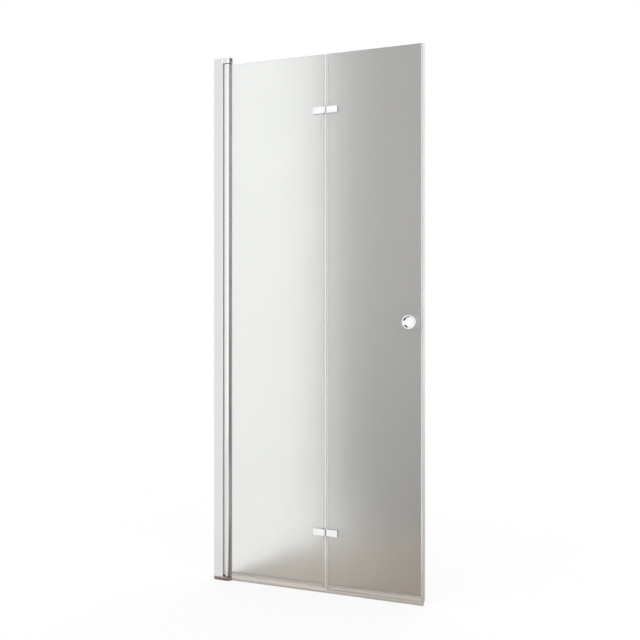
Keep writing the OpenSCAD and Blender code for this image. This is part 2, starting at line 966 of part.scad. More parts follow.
module knob_grub_screw() {
    grub_top = knob_z - stud_d / 2 - screw_gap;
    grub_l = (knob_neck_d - stud_d) / 2;
    color(steel)
        difference() {
            translate([knob_x, knob_base_y + grub_z, grub_top - grub_l])
                cylinder(d = grub_d, h = grub_l);
            translate([knob_x, knob_base_y + grub_z, grub_top - grub_l - eps])
                cylinder(d = grub_d / 2, h = grub_l / 2 + eps, $fn = 6);
        }
}

module knob_stud() {
    stud_l = 2 * (knob_base_y + stud_hold);
    color(steel)
        along_y(knob_x, -stud_l / 2, knob_z, stud_d, stud_l);
}

module knob_washers() {
    color(grey_rubber)
        for (y = [-knob_base_y, face_y])
            difference() {
                along_y(knob_x, y, knob_z, 2 * knob_washer_r, pad_t);
                along_y(knob_x, y - eps, knob_z, stud_d + 2 * screw_gap, pad_t + 2 * eps);
            }
}

module knob_sleeve() {
    color(nylon)
        difference() {
            along_y(knob_x, -face_y, knob_z, knob_hole_d - 2 * sleeve_gap, glass_t);
            along_y(knob_x, -face_y - eps, knob_z, stud_d + 2 * screw_gap, glass_t + 2 * eps);
        }
}

// ---- The pieces ----

wall_channel();
channel_top_cap();
channel_bottom_cap();
adjusting_profile();
column_gasket();
top_pivot_bracket();
bottom_pivot_bracket();
top_pivot_bush();
bottom_pivot_bush();
top_bracket_screws();
bottom_bracket_screws();
locking_screws();
locking_screw_caps();
pivot_column();
top_column_plug();
bottom_column_plug();
top_pivot_pin();
bottom_pivot_pin();
glazing_gasket();
hinge_side_glass();
hinge_side_bottom_seal();
fold_bulb_seal();
fixed_leaf(hinge_levels[0]);  // lower_hinge_fixed_leaf
clamp_plate(-1, hinge_levels[0]);  // lower_hinge_fixed_clamp
hinge_pad(-1, hinge_levels[0], -1);  // lower_hinge_fixed_outer_pad
hinge_pad(-1, hinge_levels[0], 1);  // lower_hinge_fixed_inner_pad
hinge_screw_pair(-1, hinge_levels[0]);  // lower_hinge_fixed_screws
hinge_pin(hinge_levels[0]);  // lower_hinge_pin
fixed_leaf(hinge_levels[1]);  // upper_hinge_fixed_leaf
clamp_plate(-1, hinge_levels[1]);  // upper_hinge_fixed_clamp
hinge_pad(-1, hinge_levels[1], -1);  // upper_hinge_fixed_outer_pad
hinge_pad(-1, hinge_levels[1], 1);  // upper_hinge_fixed_inner_pad
hinge_screw_pair(-1, hinge_levels[1]);  // upper_hinge_fixed_screws
hinge_pin(hinge_levels[1]);  // upper_hinge_pin
closing_side_glass();
closing_side_bottom_seal();
fold_strike_seal();
closing_edge_seal();
moving_leaf(hinge_levels[0]);  // lower_hinge_moving_leaf
clamp_plate(1, hinge_levels[0]);  // lower_hinge_moving_clamp
hinge_pad(1, hinge_levels[0], -1);  // lower_hinge_moving_outer_pad
hinge_pad(1, hinge_levels[0], 1);  // lower_hinge_moving_inner_pad
hinge_screw_pair(1, hinge_levels[0]);  // lower_hinge_moving_screws
moving_leaf(hinge_levels[1]);  // upper_hinge_moving_leaf
clamp_plate(1, hinge_levels[1]);  // upper_hinge_moving_clamp
hinge_pad(1, hinge_levels[1], -1);  // upper_hinge_moving_outer_pad
hinge_pad(1, hinge_levels[1], 1);  // upper_hinge_moving_inner_pad
hinge_screw_pair(1, hinge_levels[1]);  // upper_hinge_moving_screws
outer_knob();
inner_knob();
knob_stud();
knob_washers();
knob_sleeve();
knob_grub_screw();
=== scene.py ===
import json
from math import asin, cos, degrees, pi, radians, sin, sqrt

import bmesh
import bpy
from bpy.props import FloatProperty, FloatVectorProperty, IntProperty, PointerProperty
from bpy.types import Operator, Panel, PropertyGroup
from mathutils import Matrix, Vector


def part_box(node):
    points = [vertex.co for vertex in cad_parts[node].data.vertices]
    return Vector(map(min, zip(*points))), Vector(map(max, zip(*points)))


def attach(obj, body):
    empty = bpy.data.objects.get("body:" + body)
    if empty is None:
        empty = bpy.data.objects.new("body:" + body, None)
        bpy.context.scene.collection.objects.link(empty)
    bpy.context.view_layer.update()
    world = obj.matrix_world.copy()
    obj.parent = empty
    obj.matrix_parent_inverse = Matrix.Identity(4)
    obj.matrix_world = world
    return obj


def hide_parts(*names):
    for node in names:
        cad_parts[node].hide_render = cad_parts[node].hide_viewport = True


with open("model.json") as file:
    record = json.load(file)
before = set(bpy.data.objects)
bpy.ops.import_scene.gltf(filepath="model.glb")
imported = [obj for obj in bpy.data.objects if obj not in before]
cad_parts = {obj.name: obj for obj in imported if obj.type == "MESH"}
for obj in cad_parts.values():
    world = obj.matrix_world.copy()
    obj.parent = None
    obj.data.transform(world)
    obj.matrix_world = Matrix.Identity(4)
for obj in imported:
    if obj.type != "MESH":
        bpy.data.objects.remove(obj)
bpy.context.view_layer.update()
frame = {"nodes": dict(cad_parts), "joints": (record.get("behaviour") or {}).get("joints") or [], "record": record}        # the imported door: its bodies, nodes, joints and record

bl_info = {
    "name": "Bifold Shower Door",
    "version": (1, 0, 0),
    "blender": (4, 5, 0),
    "location": "View3D > Sidebar > Shower Door",
    "description": "Gives a frameless bifold shower door its glass, chrome and seals, and a plain studio",
    "category": "Add Mesh",
}

MM = 0.001
WELD = 1e-6  # vertices closer than this are one

# ---- What the frame says ----

RECORD = frame["record"]
SLOT_OF = {part["node"]: part["material_slot"] for part in RECORD["subparts"]}
BODY_OF = {node: body for body, nodes in RECORD["behaviour"]["bodies"].items() for node in nodes}
MOUNTS = {mount["name"]: mount for mount in RECORD["mounts"]}
JOINTS = {joint["name"]: joint for joint in frame["joints"]}
BOXES = {node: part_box(node) for node in frame["nodes"]}

COLUMN_AXIS = Vector(JOINTS["wall_pivot"]["pos_m"])
GLASS_FACE = BOXES["closing_side_glass"][1].y
SEAL_FACE = BOXES["fold_strike_seal"][1].y
SEAL_WALL = SEAL_FACE - GLASS_FACE
CHANNEL_EDGE = BOXES["wall_channel"][1].x
FOLD = JOINTS["fold_hinge"]["pos_m"][0]
HINGE_LEVELS = [
    (BOXES[f"{level}_hinge_pin"][0].z + BOXES[f"{level}_hinge_pin"][1].z) / 2 for level in ("lower", "upper")
]
KNOB_PLACE = (BOXES["knob_stud"][0] + BOXES["knob_stud"][1]) / 2

# Thin air between the panes and the seals that grip them, so that light passes as through the real parts
GRIP_GAP = 0.05 * MM


# ---- Sizes and colours that a user would change ----

def length(name, description, default, least, most):
    """A length property, given in millimetres."""
    return FloatProperty(
        name=name, description=description, default=default * MM, min=least * MM, max=most * MM,
        unit="LENGTH", precision=5,
    )


def colour(name, description, default):
    """A colour property."""
    return FloatVectorProperty(
        name=name, description=description, default=default, size=3, subtype="COLOR", min=0, max=1,
    )


class DoorSizes(PropertyGroup):
    """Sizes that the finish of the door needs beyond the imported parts."""

    metal_round: length("Metal rounding", "Rounding of the metal fittings' edges", 0.5, 0.05, 1)
    glass_arris: length("Glass arris", "Width of the ground corner along the panes' edges", 0.7, 0.2, 1.5)
    channel_wall: length("Channel wall", "Wall thickness of the wall channel", 2, 1, 3)
    channel_dome: length("Channel dome", "Width of the domed free edges of the channel's flanges", 2.6, 1, 5)
    channel_fall: length("Channel fall", "Depth that the domed edges fall away", 0.8, 0.2, 1.8)
    column_wall: length("Column wall", "Wall thickness of the pivot column", 2.2, 1, 3)
    slot_wall: length("Slot wall", "Wall thickness round the column's glass slot", 1.8, 1, 3)
    knob_rim: length("Knob rim", "Width of the knob's raised rim", 5, 3, 8)
    knob_dish: length("Knob dish", "Depth of the hollow in the knob's face", 4.5, 1, 6)
    round_steps: IntProperty(
        name="Round steps", description="Steps in a full circle of a round section",
        default=96, min=24, max=192,
    )


class DoorColours(PropertyGroup):
    """Colours of the door's finishes, linear."""

    chrome: colour("Chrome", "Polished chrome plate", (0.88, 0.885, 0.89))
    profile: colour("Profiles", "Bright anodised aluminium", (0.86, 0.86, 0.855))
    steel: colour("Steel", "Turned stainless steel", (0.62, 0.62, 0.62))
    glass: colour("Glass", "Satin glass, seen through its faces", (0.915, 0.93, 0.92))
    glass_edge: colour("Glass edge", "The panes' polished edges", (0.42, 0.62, 0.56))
    seal: colour("Seals", "Clear soft plastic", (0.97, 0.975, 0.96))
    # Painted reflection: the brown of the floor that the upright seals show near it.
    seal_painted_floor_tint: colour("Old seals", "Clear soft plastic where water stands", (0.80, 0.745, 0.67))
    # The bottom seals take this as their near-floor colour, so its warmth is partly their plastic's own
    # colour and partly painted reflection of the floor.
    drip_seal: colour("Drip seals", "Clear soft plastic of the bottom seals", (0.98, 0.935, 0.88))
    bulb: colour("Bulbs", "Milky plastic of the seals' bulbs", (0.87, 0.87, 0.855))
    # Painted shade: the grey the bulbs take near the floor, from the dark floor below.
    bulb_painted_floor_shade: colour("Old bulbs", "Milky plastic where water stands", (0.52, 0.50, 0.465))
    # Painted shade: the colour of the seals' darker bands, by their feet, webs, grips and the fold.
    seal_painted_shade: colour("Seal bands", "Harder plastic along the seals", (0.48, 0.45, 0.41))
    nylon: colour("Nylon", "Natural white nylon", (0.78, 0.78, 0.75))
    # Painted shade: the bushes' near-black darkens the gap between the top bracket and the column.
    dark_nylon: colour("Dark nylon", "Nylon of the pivot bushes", (0.06, 0.06, 0.06))
    rubber: colour("Rubber", "Pale grey rubber of gaskets and pads", (0.88, 0.88, 0.87))
    # Painted shade: the near-black of the column gasket's foot, in the gap beside the channel.
    rubber_painted_shade: colour("Dark rubber", "Rubber of the gasket that wipes the column", (0.05, 0.05, 0.05))


class StudioSettings(PropertyGroup):
    """The plain studio round the door."""

    lens: FloatProperty(
        name="Lens", description="Focal length of the camera", default=44.16, min=20, max=120, unit="CAMERA",
    )
    floor_size: FloatProperty(
        name="Floor", description="Side of the floor", default=16, min=4, max=40, unit="LENGTH",
    )
    fill: FloatProperty(
        name="Fill", description="Strength of the even light from all round", default=0.93, min=0, max=1,
    )
    shine: FloatProperty(
        name="Shine", description="Brightness of the studio as metal reflects it", default=0.9, min=0, max=2,
    )
    behind: FloatProperty(
        name="Behind", description="Brightness of the studio as glass shows it", default=0.75, min=0, max=2,
    )


# ---- Shader building ----

class Socket:
    """An output of a shader node that can be used in expressions, each of which adds a Math node."""

    def __init__(self, shader, output):
        self.shader = shader
        self.output = output

    def named(self, name):
        """Another output of the same node."""
        return Socket(self.shader, self.output.node.outputs[name])

    def _math(self, operation, first, second):
        """The result of a Math node on two links or values."""
        return self.shader.node("Math", {"operation": operation}, {0: first, 1: second})

    def __add__(self, other):
        return self._math("ADD", self, other)

    def __radd__(self, other):
        return self._math("ADD", other, self)

    def __sub__(self, other):
        return self._math("SUBTRACT", self, other)

    def __rsub__(self, other):
        return self._math("SUBTRACT", other, self)

    def __mul__(self, other):
        return self._math("MULTIPLY", self, other)


class Shader:
    """The nodes of a material or of the world."""

    def __init__(self, owner):
        owner.use_nodes = True
        self.tree = owner.node_tree
        self.tree.nodes.clear()

    def node(self, kind, settings=None, inputs=None, output=0):
        """Adds a node. Its settings come first, then the values or links of its sockets."""
        made = self.tree.nodes.new("ShaderNode" + kind)
        for key, value in (settings or {}).items():
            setattr(made, key, value)
        for key, value in (inputs or {}).items():
            if isinstance(value, Socket):
                self.tree.links.new(value.output, made.inputs[key])
            else:
                made.inputs[key].default_value = value
        return Socket(self, made.outputs[output]) if len(made.outputs) else made

    def place(self, scale=(1, 1, 1)):
        """Object coordinates, stretched."""
        coordinates = self.node("TexCoord").named("Object")
        return self.node("Mapping", {}, {"Vector": coordinates, "Scale": scale})

    def coordinate(self, axis):
        """A place's distance along X, Y or Z."""
        return self.node("SeparateXYZ", {}, {0: self.place()}).named(axis)

    def height(self):
        """The height above the floor."""
        return self.coordinate("Z")

    def noise(self, scale, detail=2.0, stretch=(1, 1, 1), roughness=0.5):
        """A noise pattern from 0 to 1, with scale in cells to the metre."""
        return self.node(
            "TexNoise", {},
            {"Vector": self.place(stretch), "Scale": scale, "Detail": detail, "Roughness": roughness},
        )

    def ramp(self, value, low, high, start=0.0, end=1.0):
        """value, moved from the range low to high into the range start to end."""
        inputs = {"Value": value, "From Min": low, "From Max": high, "To Min": start, "To Max": end}
        return self.node("MapRange", {"interpolation_type": "SMOOTHSTEP"}, inputs)

    def band(self, value, rise, fall):
        """1 between rise and fall, each a pair of limits that it eases over, and 0 outside."""
        return self.ramp(value, *rise) * self.ramp(value, *fall, 1.0, 0.0)

    def blend(self, share, first, second):
        """A colour between two colours."""
        return self.node("Mix", {"data_type": "RGBA"}, {0: share, 6: rgba(first), 7: rgba(second)}, output=2)

    def bump(self, height, distance, strength=1.0):
        """A normal bent by a height pattern."""
        return self.node("Bump", {}, {"Height": height, "Distance": distance, "Strength": strength})

    def principled(self, **sockets):
        """The material's main shader, joined to the output. An underscore stands for a space."""
        inputs = {name.replace("_", " "): value for name, value in sockets.items()}
        surface = self.node("BsdfPrincipled", {}, inputs)
        self.node("OutputMaterial", {}, {"Surface": surface})


def rgba(value):
    """A colour with its alpha, as sockets want it. A link stays a link."""
    return value if isinstance(value, Socket) else (*value, 1.0)


def grey(value):
    """A grey as an RGB colour."""
    return (value, value, value)


def colours():
    """The colours chosen in the panel."""
    return bpy.context.scene.door_colours


def sizes():
    """The sizes chosen in the panel."""
    return bpy.context.scene.door_sizes


# ---- Finishes ----

def chrome_plate(shader):
    """Bright chrome with faint hand smears and a slight waviness from polishing."""
    smears = shader.noise(38, detail=4, roughness=0.6)
    waves = shader.noise(120, detail=1)
    base = tuple(colours().chrome)
    shader.principled(
        Base_Color=shader.blend(shader.ramp(smears, 0.35, 0.75), base, tuple(0.94 * c for c in base)),
        Metallic=1.0,
        Roughness=shader.ramp(smears, 0.4, 0.75, 0.035, 0.11),
        Normal=shader.bump(waves, 0.02 * MM, 0.35),
    )


def plated_plastic(shader):
    """Chrome-plated plastic: as bright, with a little orange peel."""
    peel = shader.noise(700, detail=2)
    base = tuple(colours().chrome)
    shader.principled(
        Base_Color=shader.blend(shader.ramp(peel, 0.3, 0.7), base, tuple(0.96 * c for c in base)),
        Metallic=1.0,
        Roughness=shader.ramp(peel, 0.3, 0.8, 0.06, 0.12),
        Normal=shader.bump(peel, 0.02 * MM, 0.5),
    )


def polished_profile(shader):
    """Bright anodised aluminium with fine die lines along it, and a painted highlight on the channel's free
    edges, where the base colour goes to white.
    """
    lines = shader.noise(1.0, detail=3, stretch=(1400, 1400, 1.5))
    haze = shader.noise(9, detail=3, stretch=(1, 1, 0.35))
    across = shader.coordinate("X")
    # Painted highlight: a band along the channel's free edges whose base colour is raised to white.
    rise = (CHANNEL_EDGE - 3.5 * MM, CHANNEL_EDGE - 2.5 * MM)
    edge = shader.band(across, rise, (CHANNEL_EDGE + 0.2 * MM, CHANNEL_EDGE + 0.8 * MM))
    base = tuple(colours().profile)
    lined = shader.blend(shader.ramp(lines, 0.3, 0.75), base, tuple(0.95 * c for c in base))
    shader.principled(
        Base_Color=shader.blend(edge, lined, grey(1.0)),
        Metallic=1.0,
        Roughness=shader.ramp(haze, 0.35, 0.7, 0.09, 0.14) + lines * 0.05,
        Normal=shader.bump(lines, 0.01 * MM, 0.5),
    )


def stainless_steel(shader):
    """Plain turned steel with fine tool marks."""
    marks = shader.noise(2600, detail=3)
    base = tuple(colours().steel)
    shader.principled(
        Base_Color=shader.blend(shader.ramp(marks, 0.3, 0.7), base, tuple(0.8 * c for c in base)),
        Metallic=1.0,
        Roughness=shader.ramp(marks, 0.3, 0.7, 0.24, 0.38),
        Normal=shader.bump(marks, 0.02 * MM, 0.4),
    )


def nylon(shader, base):
    """Moulded nylon."""
    grain = shader.noise(900, detail=3)
    shader.principled(
        Base_Color=shader.blend(shader.ramp(grain, 0.3, 0.7), base, tuple(0.93 * c for c in base)),
        Roughness=shader.ramp(grain, 0.3, 0.7, 0.42, 0.55),
        Normal=shader.bump(grain, 0.03 * MM, 0.4),
    )


def white_nylon(shader):
    """The natural white nylon of the column's plugs."""
    nylon(shader, tuple(colours().nylon))


def dark_nylon(shader):
    """The nylon of the pivot bushes: a guessed near-black that also paints the shadow in the gap between the
    top bracket and the column.
    """
    nylon(shader, tuple(colours().dark_nylon))


def rubber(shader, base):
    """Matt rubber with a fine extruded grain."""
    grain = shader.noise(1, detail=4, stretch=(2200, 2200, 500))
    shader.principled(
        Base_Color=shader.blend(shader.ramp(grain, 0.3, 0.7, 0.0, 0.06), base, grey(1.0)),
        Roughness=shader.ramp(grain, 0.3, 0.7, 0.55, 0.75),
        Normal=shader.bump(grain, 0.04 * MM, 0.5),
    )


def grey_rubber(shader):
    """Pale rubber of the pads and of the gasket in the column's slot."""
    rubber(shader, tuple(colours().rubber))


def rubber_painted_shade(shader):
    """Pale rubber of the gasket that wipes the column, with painted shade: near-black at its foot, deep in
    the gap between the channel and the column.
    """
    # Painted shade: near-black up to just past the channel's edge, pale beyond.
    lip = shader.ramp(shader.coordinate("X"), CHANNEL_EDGE + 1.8 * MM, CHANNEL_EDGE + 2.8 * MM)
    rubber(shader, shader.blend(lip, tuple(colours().rubber_painted_shade), tuple(colours().rubber)))


def fold_painted_shade(shader):
    """Shares of painted shade in the middle of the legs beside the fold, next to the gap between the panes.
    """
    across = shader.coordinate("X")
    first = shader.band(across, (FOLD - 10 * MM, FOLD - 9 * MM), (FOLD - 6.5 * MM, FOLD - 5.5 * MM))
    second = shader.band(across, (FOLD + 2 * MM, FOLD + 3 * MM), (FOLD + 7 * MM, FOLD + 8 * MM))
    return first * 0.35 + second * 0.2


def level_painted_shade(shader):
    """Shares of painted shade up a bottom seal: its feet by the floor, its grip, and the web on the closing
    side.
    """
    height = shader.height()
    # Painted shade: darker by the floor, on the grip and along the web, and a little everywhere.
    foot = shader.ramp(height, 4 * MM, 10 * MM, 1.0, 0.0)
    web = shader.band(height, (9.5 * MM, 11 * MM), (16.5 * MM, 18 * MM))
    grip = shader.ramp(height, 19 * MM, 28 * MM)
    closing = shader.ramp(shader.coordinate("X"), FOLD, FOLD + 5 * MM)
    return foot * (0.75 - closing * 0.25) + grip * 0.33 + web * (closing * 0.5 - 0.1) + 0.2


def clear_seal(shader, stretch=(900, 900, 4), shade_bands=fold_painted_shade, floor_tint=None):
    """Clear soft plastic, a little milky, with faint draw lines. Near the floor its base colour turns to a
    warm brown, a painted reflection of the floor seen in and through the seals. The fourth argument, if
    given, is that near-floor colour. The third argument is a function of the shader that gives the shares of
    painted shade in darker bands."""
    lines = shader.noise(1.0, detail=3, stretch=stretch)
    clouds = shader.noise(60, detail=3)
    # Painted reflection: the base colour turns to the floor's brown below about a quarter of a metre.
    painted_floor_share = shader.ramp(shader.height() + clouds * 0.02, 0.03, 0.26, 1.0, 0.0)
    plain = shader.blend(painted_floor_share, tuple(colours().seal), floor_tint or tuple(colours().seal_painted_floor_tint))
    shader.principled(
        # Painted shade: darker bands blended into the base colour.
        Base_Color=shader.blend(shade_bands(shader), plain, tuple(colours().seal_painted_shade)),
        Roughness=shader.ramp(lines, 0.3, 0.75, 0.2, 0.32),
        IOR=1.05,
        Transmission_Weight=0.5,
        Normal=shader.bump(lines, 0.02 * MM, 0.3),
    )


def milky_bulb(shader):
    """The softer, milky plastic of the seals' bulbs, with painted floor shade: it greys near the floor, most
    on the closing edge.
    """
    grain = shader.noise(1.0, detail=3, stretch=(900, 900, 4))
    closing = shader.ramp(shader.coordinate("X"), 0.6, 0.7)
    # Painted shade: the bulbs grey towards the floor, the closing edge's bulb over its whole lower metre.
    fold_floor_shade = shader.ramp(shader.height(), 0.02, 0.2, 0.45, 0.0)
    closing_floor_shade = shader.ramp(shader.height(), 0.1, 1.1, 1.0, 0.25)
    painted_floor_share = fold_floor_shade * (1.0 - closing) + closing_floor_shade * closing
    shader.principled(
        Base_Color=shader.blend(painted_floor_share, tuple(colours().bulb), tuple(colours().bulb_painted_floor_shade)),
        Roughness=shader.ramp(grain, 0.3, 0.75, 0.35, 0.5),
        Normal=shader.bump(grain, 0.02 * MM, 0.3),
    )


def level_seal(shader):
    """The clear plastic of the bottom seals, drawn along X and a little whiter."""
    # The bottom seals get painted shade in bands and a painted floor tint, both in the base colour.
    clear_seal(shader, (4, 900, 900), level_painted_shade, tuple(colours().drip_seal))


def satin_glass(shader):
    """Toughened glass with satin faces: an even fine etch with the faintest clouding."""
    etch = shader.noise(3200, detail=2)
    clouds = shader.noise(6, detail=4, roughness=0.6)
    base = tuple(colours().glass)
    shader.principled(
        Base_Color=shader.blend(shader.ramp(clouds, 0.35, 0.7), base, tuple(0.985 * c for c in base)),
        Roughness=shader.ramp(clouds, 0.3, 0.7, 0.345, 0.365) + etch * 0.02,
        IOR=1.5,
        Transmission_Weight=0.9,
    )


def glass_edge(shader):
    """The panes' polished edges, where the glass shows its green."""
    grinding = shader.noise(1.0, detail=3, stretch=(700, 2500, 700))
    base = tuple(colours().glass_edge)
    shader.principled(
        Base_Color=shader.blend(shader.ramp(grinding, 0.3, 0.7), base, tuple(0.85 * c for c in base)),
        Roughness=shader.ramp(grinding, 0.3, 0.7, 0.08, 0.2),
        IOR=1.5,
        Transmission_Weight=0.6,
    )


FINISHES = {
    "chrome_plate": chrome_plate,
    "plated_plastic": plated_plastic,
    "polished_profile": polished_profile,
    "stainless_steel": stainless_steel,
    "white_nylon": white_nylon,
    "dark_nylon": dark_nylon,
    "grey_rubber": grey_rubber,
    "rubber_painted_shade": rubber_painted_shade,
    "clear_seal": clear_seal,
    "level_seal": level_seal,
    "milky_bulb": milky_bulb,
    "satin_glass": satin_glass,
    "glass_edge": glass_edge,
}


def finish(name):
    """The material of that finish, made when it is first wanted."""
    material = bpy.data.materials.get(name + "_finish")
    if material is None:
        material = bpy.data.materials.new(name + "_finish")
        FINISHES[name](Shader(material))
    return material


# ---- Mesh building ----

def arc(centre, radius, start, end, steps=None):
    """Points on an arc round a 2D centre, from start to end in degrees."""
    steps = steps or max(2, round(sizes().round_steps * abs(end - start) / 360))
    turns = [radians(start + (end - start) * i / steps) for i in range(steps + 1)]
    return [(centre[0] + radius * cos(turn), centre[1] + radius * sin(turn)) for turn in turns]


def prism(loops, place, along, whole_ends=True):
    """A bar whose section is a flat region: an outer loop of 2D points, and a loop for each hole in it.
    Whole ends leave out points that lie on a straight stretch of the outline."""
    bm = bmesh.new()
    edges = []
    for loop in loops:
        verts = [bm.verts.new(place(*point)) for point in loop]
        edges += [bm.edges.new((verts[i - 1], verts[i])) for i in range(len(verts))]
    filled = bmesh.ops.triangle_fill(bm, use_beauty=True, use_dissolve=whole_ends, edges=edges)
    faces = [item for item in filled["geom"] if isinstance(item, bmesh.types.BMFace)]
    grown = bmesh.ops.extrude_face_region(bm, geom=faces)
    far_end = [item for item in grown["geom"] if isinstance(item, bmesh.types.BMVert)]
    bmesh.ops.translate(bm, verts=far_end, vec=along)
    bmesh.ops.recalc_face_normals(bm, faces=bm.faces)
    return bm


def upright_bar(loops, low, high):
    """A bar with an X and Y section, standing from one height to another."""
    return prism(loops, lambda x, y: (x, y, low), (0, 0, high - low))


def joined(meshes):
    """Several bmeshes as one."""
    whole = bmesh.new()
    for bm in meshes:
        mesh = bpy.data.meshes.new("part")
        bm.to_mesh(mesh)
        bm.free()
        whole.from_mesh(mesh)
        bpy.data.meshes.remove(mesh)
    return whole


def chamfer(bm, width):
    """Cuts the square corners of a bmesh back to a flat."""
    square = radians(60)
    corners = [edge for edge in bm.edges if len(edge.link_faces) == 2 and edge.calc_face_angle() > square]
    bmesh.ops.bevel(
        bm, geom=corners, offset=width, offset_type="OFFSET", affect="EDGES", segments=1, profile=0.5,
        material=-1, clamp_overlap=True,
    )


def piece(bm, name, *nodes, look=None):
    """Turns a bmesh into a piece that stands for CAD nodes, rides on their body and wears their finish."""
    mesh = bpy.data.meshes.new(name)
    bm.to_mesh(mesh)
    bm.free()
    obj = bpy.data.objects.new(name, mesh)
    bpy.context.scene.collection.objects.link(obj)
    mesh.materials.append(finish(look or SLOT_OF[nodes[0]]))
    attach(obj, BODY_OF[nodes[0]])
    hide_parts(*nodes)
    return obj


def smooth(obj):
    """Smooth shading between sharp edges, with the large faces kept flat."""
    obj.data.shade_smooth()
    obj.data.set_sharp_from_angle(angle=radians(30))
    even = obj.modifiers.new("even_shading", "WEIGHTED_NORMAL")
    even.keep_sharp = True
    return obj


def rounded_copy(node, name, rounding):
    """A copy of a CAD node with welded faces and rounded edges, which stands for it."""
    bm = bmesh.new()
    bm.from_mesh(frame["nodes"][node].data)
    bmesh.ops.remove_doubles(bm, verts=bm.verts, dist=WELD)
    bmesh.ops.dissolve_limit(bm, angle_limit=radians(0.5), verts=bm.verts, edges=bm.edges)
    obj = piece(bm, name, node)
    bevel = obj.modifiers.new("edge_rounding", "BEVEL")
    bevel.width = rounding
    bevel.segments = 3
    bevel.limit_method = "ANGLE"
    bevel.angle_limit = radians(40)
    bevel.miter_outer = "MITER_ARC"
    return smooth(obj)


def bored(obj, cutters):
    """Cuts holes in a piece with a bmesh of closed cutters."""
    mesh = bpy.data.meshes.new("cutters")
    cutters.to_mesh(mesh)
    cutters.free()
    tool = bpy.data.objects.new("cutters", mesh)
    bpy.context.scene.collection.objects.link(tool)
    cut = obj.modifiers.new("holes", "BOOLEAN")
    cut.object = tool
    cut.operation = "DIFFERENCE"
    cut.solver = "EXACT"
    graph = bpy.context.evaluated_depsgraph_get()
    whole = obj.data
    obj.data = bpy.data.meshes.new_from_object(obj.evaluated_get(graph))
    obj.modifiers.clear()
    bpy.data.meshes.remove(whole)
    bpy.data.objects.remove(tool)
    bpy.data.meshes.remove(mesh)


def circle(centre, radius, steps=48):
    """A closed loop of points on a circle."""
    return arc(centre, radius, 0, 360 * (1 - 1 / steps), steps - 1)


def round_bar(place, radius, reach, axis):
    """A closed round bar along X or Y, starting at place."""
    x, y, z = place
    if axis == "X":
        return prism([circle((y, z), radius)], lambda across, up: (x, across, up), (reach, 0, 0))
    return prism([circle((x, z), radius)], lambda across, up: (across, y, up), (0, reach, 0))


# ---- Wall side ----

class SHOWERDOOR_OT_wall_channel(Operator):
    """Makes the wall channel: a U section with domed free edges, and holes for its screws"""

    bl_idname = "showerdoor.wall_channel"
    bl_label = "Wall Channel"

    TIP = 0.1 * MM  # corner taken off the flanges' inner edges
    LOCK_HOLE = 2.05 * MM

    def execute(self, context):
        low, high = BOXES["wall_channel"]
        wall, dome, fall = sizes().channel_wall, sizes().channel_dome, sizes().channel_fall
        inner, depth, tip = high.y - wall, high.x, self.TIP
        far = [(depth - dome + dome * x, high.y - fall + fall * y) for x, y in arc((0, 0), 1, 0, 90, 20)]
        near = [(x, -y) for x, y in reversed(far)]
        outline = [
            (low.x, low.y), *near, (depth, -inner - tip), (depth - tip, -inner), (wall, -inner),
            (wall, inner), (depth - tip, inner), (depth, inner + tip), *far, (low.x, high.y),
        ]
        channel = piece(upright_bar([outline], low.z, high.z), "wall_channel_extrusion", "wall_channel")
        bored(channel, joined(self.wall_holes(wall) + self.lock_holes(inner, wall)))
        smooth(channel)
        return {"FINISHED"}

    @staticmethod
    def wall_holes(wall):
        """Cutters for the wall screws' holes, where the mounts say."""
        cutters = []
        for name in ("wall_screws_outer", "wall_screws_inner"):
            mount = MOUNTS[name]
            for side in (-0.5, 0.5):
                z = mount["pos_m"][2] + side * mount["dims"]["spacing_y_mm"] * MM
                place = (-wall, mount["pos_m"][1], z)
                cutters.append(round_bar(place, mount["dims"]["hole_r_mm"] * MM, 3 * wall, "X"))
        return cutters

    def lock_holes(self, inner, wall):
        """Cutters for the locking screws' holes in the flange on the shower side."""
        low, high = BOXES["locking_screws"]
        middle, head = (low.x + high.x) / 2, (high.x - low.x) / 2
        levels = [low.z + head, (low.z + high.z) / 2, high.z - head]
        return [round_bar((middle, inner - wall, z), self.LOCK_HOLE, 3 * wall, "Y") for z in levels]


class SHOWERDOOR_OT_column(Operator):
    """Makes the pivot column: a round tube with a slot that grips the first pane"""

    bl_idname = "showerdoor.column"
    bl_label = "Pivot Column"

    def execute(self, context):
        low, high = BOXES["pivot_column"]
        gasket_low, gasket_high = BOXES["glazing_gasket"]
        centre = (COLUMN_AXIS.x, COLUMN_AXIS.y)
        radius = COLUMN_AXIS.x - low.x
        hollow = radius - sizes().column_wall
        half_slot, slot_floor = gasket_high.y, gasket_low.x
        half_box = half_slot + sizes().slot_wall
        mouth = degrees(asin(half_slot / radius))
        inner = degrees(asin(half_box / hollow))
        tube = arc(centre, radius, mouth, 360 - mouth)
        outline = [*tube, (slot_floor, -half_slot), (slot_floor, half_slot)]
        box_x = slot_floor - sizes().slot_wall
        void = [*arc(centre, hollow, inner, 360 - inner), (box_x, -half_box), (box_x, half_box)]
        bm = upright_bar([outline, void], low.z, high.z)
        smooth(piece(bm, "pivot_column_extrusion", "pivot_column"))
        return {"FINISHED"}


